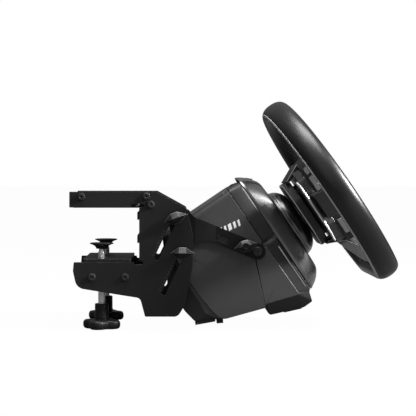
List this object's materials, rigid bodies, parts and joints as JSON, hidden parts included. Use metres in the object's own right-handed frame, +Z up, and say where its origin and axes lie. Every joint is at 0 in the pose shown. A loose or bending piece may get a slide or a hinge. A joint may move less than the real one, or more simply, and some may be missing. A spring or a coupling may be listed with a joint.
{
  "type": "racing wheel",
  "caption": "Force feedback racing wheel with a flat-bottomed rim and shift paddles, carried by an adjustable bracket that clamps to a desk edge.",
  "frame": {"origin": "on the desk's front edge, level with the desk top, on the wheel's middle plane", "axes": "+Z up, +Y into the desk, away from the driver, X across"},
  "size_m": [0.3, 0.4375, 0.3068],
  "materials": {
    "plate_paint": "satin black powder coat",
    "pad_rubber": "matt rubber",
    "bright_steel": "zinc plated thread",
    "black_screws": "black oxide",
    "knob_plastic": "moulded satin black",
    "shell_plastic": "fine matt texture",
    "nose_gloss": "piano black",
    "hub_plastic": "satin moulded",
    "wheel_metal": "black anodised",
    "grip_leather": "smooth semi-gloss",
    "inner_iron": "bare",
    "board_green": "solder mask",
    "button_plastic": "satin"
  },
  "bodies": {
    "desk_clamp": {"clamp_plate_left": "plate_paint", "clamp_plate_right": "plate_paint", "top_plate": "plate_paint", "top_pad": "pad_rubber", "edge_plate": "plate_paint", "edge_pads": "pad_rubber", "clamp_tray": "plate_paint", "tray_nuts": "bright_steel", "bracket_screws": "black_screws", "bracket_nuts": "black_screws"},
    "carriage": {"arm_left": "plate_paint", "arm_right": "plate_paint", "slot_studs": "bright_steel"},
    "wheel_base": {"base_shell": "shell_plastic", "side_panel_left": "shell_plastic", "side_panel_right": "shell_plastic", "front_skirt": "shell_plastic", "front_bezel": "shell_plastic", "nose_shroud": "nose_gloss", "nose_dome": "nose_gloss", "base_feet": "pad_rubber", "motor_housing": "wheel_metal", "motor_stator": "inner_iron", "shaft_bearings": "bright_steel", "circuit_board": "board_green", "rear_sockets": "shell_plastic", "pivot_blocks": "black_screws", "pivot_fasteners": "black_screws"},
    "steering_wheel": {"steering_shaft": "bright_steel", "motor_rotor": "inner_iron", "quick_release_hub": "wheel_metal", "hub_back_plate": "hub_plastic", "paddle_mount": "hub_plastic", "paddle_pins": "bright_steel", "spoke_frame": "wheel_metal", "rim_core": "inner_iron", "rim_grip": "grip_leather", "hub_case": "hub_plastic", "hub_face": "hub_plastic", "centre_cap": "button_plastic"},
    "release_ring": {"quick_release_ring": "wheel_metal"},
    "power_switch": {"power_button": "shell_plastic"},
    "button_1_body": {"button_1": "button_plastic"},
    "button_2_body": {"button_2": "button_plastic"},
    "button_3_body": {"button_3": "button_plastic"},
    "button_4_body": {"button_4": "button_plastic"},
    "paddle_left_body": {"paddle_left": "wheel_metal"},
    "clamp_pad_left": {"swivel_pad_left": "pad_rubber"},
    "clamp_handle_left": {"clamp_screw_left": "bright_steel", "clamp_knob_left": "knob_plastic"},
    "slot_knob_upper_left_body": {"slot_knob_upper_left": "knob_plastic"},
    "slot_knob_lower_left_body": {"slot_knob_lower_left": "knob_plastic"},
    "tilt_knob_left_body": {"tilt_knob_left": "knob_plastic"},
    "paddle_right_body": {"paddle_right": "wheel_metal"},
    "clamp_pad_right": {"swivel_pad_right": "pad_rubber"},
    "clamp_handle_right": {"clamp_screw_right": "bright_steel", "clamp_knob_right": "knob_plastic"},
    "slot_knob_upper_right_body": {"slot_knob_upper_right": "knob_plastic"},
    "slot_knob_lower_right_body": {"slot_knob_lower_right": "knob_plastic"},
    "tilt_knob_right_body": {"tilt_knob_right": "knob_plastic"}
  },
  "joints": [
    {"name": "height_slide", "type": "slide", "parent": "desk_clamp", "child": "carriage", "axis": [0, 0.4226, -0.9063], "range_m": [0, 0.058]},
    {"name": "base_tilt", "type": "hinge", "parent": "carriage", "child": "wheel_base", "pos_m": [0, -0.1606, -0.0583], "axis": [1, 0, 0], "range_deg": [-12, 12]},
    {"name": "steering", "type": "hinge", "parent": "wheel_base", "child": "steering_wheel", "pos_m": [0, -0.2659, 0.0163], "axis": [0, -0.829, 0.5592], "range_deg": [-540, 540]},
    {"name": "release_turn", "type": "hinge", "parent": "steering_wheel", "child": "release_ring", "pos_m": [0, -0.22611, -0.01054], "axis": [0, -0.829, 0.5592], "range_deg": [0, 30]},
    {"name": "power_press", "type": "slide", "parent": "wheel_base", "child": "power_switch", "axis": [0, -0.5592, -0.829], "range_m": [0, 0.0008], "stiffness_N_per_m": 400, "springref_m": -0.0005},
    {"name": "button_1_press", "type": "slide", "parent": "steering_wheel", "child": "button_1_body", "axis": [0, 0.829, -0.5592], "range_m": [0, 0.0015], "stiffness_N_per_m": 400, "springref_m": -0.0008},
    {"name": "button_2_press", "type": "slide", "parent": "steering_wheel", "child": "button_2_body", "axis": [0, 0.829, -0.5592], "range_m": [0, 0.0015], "stiffness_N_per_m": 400, "springref_m": -0.0008},
    {"name": "button_3_press", "type": "slide", "parent": "steering_wheel", "child": "button_3_body", "axis": [0, 0.829, -0.5592], "range_m": [0, 0.0015], "stiffness_N_per_m": 400, "springref_m": -0.0008},
    {"name": "button_4_press", "type": "slide", "parent": "steering_wheel", "child": "button_4_body", "axis": [0, 0.829, -0.5592], "range_m": [0, 0.0015], "stiffness_N_per_m": 400, "springref_m": -0.0008},
    {"name": "paddle_left_pull", "type": "hinge", "parent": "steering_wheel", "child": "paddle_left_body", "pos_m": [-0.026, -0.23688, -0.00327], "axis": [0, 0.5592, 0.829], "range_deg": [0, 4], "stiffness_Nm_per_rad": 0.6, "springref_deg": -6.88},
    {"name": "clamp_left_travel", "type": "slide", "parent": "desk_clamp", "child": "clamp_pad_left", "axis": [0, 0, 1], "range_m": [-0.012, 0.032]},
    {"name": "clamp_left_turn", "type": "hinge", "parent": "clamp_pad_left", "child": "clamp_handle_left", "pos_m": [-0.057, 0.048, -0.1], "axis": [0, 0, 1], "range_deg": [-2881, 9361]},
    {"name": "slot_knob_upper_left_turn", "type": "hinge", "parent": "carriage", "child": "slot_knob_upper_left_body", "pos_m": [-0.08, -0.051, -0.0135], "axis": [-1, 0, 0], "range_deg": [0, 720]},
    {"name": "slot_knob_lower_left_turn", "type": "hinge", "parent": "carriage", "child": "slot_knob_lower_left_body", "pos_m": [-0.08, -0.06, -0.0598], "axis": [-1, 0, 0], "range_deg": [0, 720]},
    {"name": "tilt_knob_left_turn", "type": "hinge", "parent": "wheel_base", "child": "tilt_knob_left_body", "pos_m": [-0.08, -0.14447, -0.05078], "axis": [-1, 0, 0], "range_deg": [0, 720]},
    {"name": "paddle_right_pull", "type": "hinge", "parent": "steering_wheel", "child": "paddle_right_body", "pos_m": [0.026, -0.23688, -0.00327], "axis": [0, -0.5592, -0.829], "range_deg": [0, 4], "stiffness_Nm_per_rad": 0.6, "springref_deg": -6.88},
    {"name": "clamp_right_travel", "type": "slide", "parent": "desk_clamp", "child": "clamp_pad_right", "axis": [0, 0, 1], "range_m": [-0.012, 0.032]},
    {"name": "clamp_right_turn", "type": "hinge", "parent": "clamp_pad_right", "child": "clamp_handle_right", "pos_m": [0.057, 0.048, -0.1], "axis": [0, 0, 1], "range_deg": [-2881, 9361]},
    {"name": "slot_knob_upper_right_turn", "type": "hinge", "parent": "carriage", "child": "slot_knob_upper_right_body", "pos_m": [0.08, -0.051, -0.0135], "axis": [1, 0, 0], "range_deg": [0, 720]},
    {"name": "slot_knob_lower_right_turn", "type": "hinge", "parent": "carriage", "child": "slot_knob_lower_right_body", "pos_m": [0.08, -0.06, -0.0598], "axis": [1, 0, 0], "range_deg": [0, 720]},
    {"name": "tilt_knob_right_turn", "type": "hinge", "parent": "wheel_base", "child": "tilt_knob_right_body", "pos_m": [0.08, -0.14447, -0.05078], "axis": [1, 0, 0], "range_deg": [0, 720]}
  ],
  "couplings": [
    {"joint": "clamp_left_turn", "follows": "clamp_left_travel", "rad_per_m": 4188.8},
    {"joint": "clamp_right_turn", "follows": "clamp_right_travel", "rad_per_m": 4188.8}
  ]
}
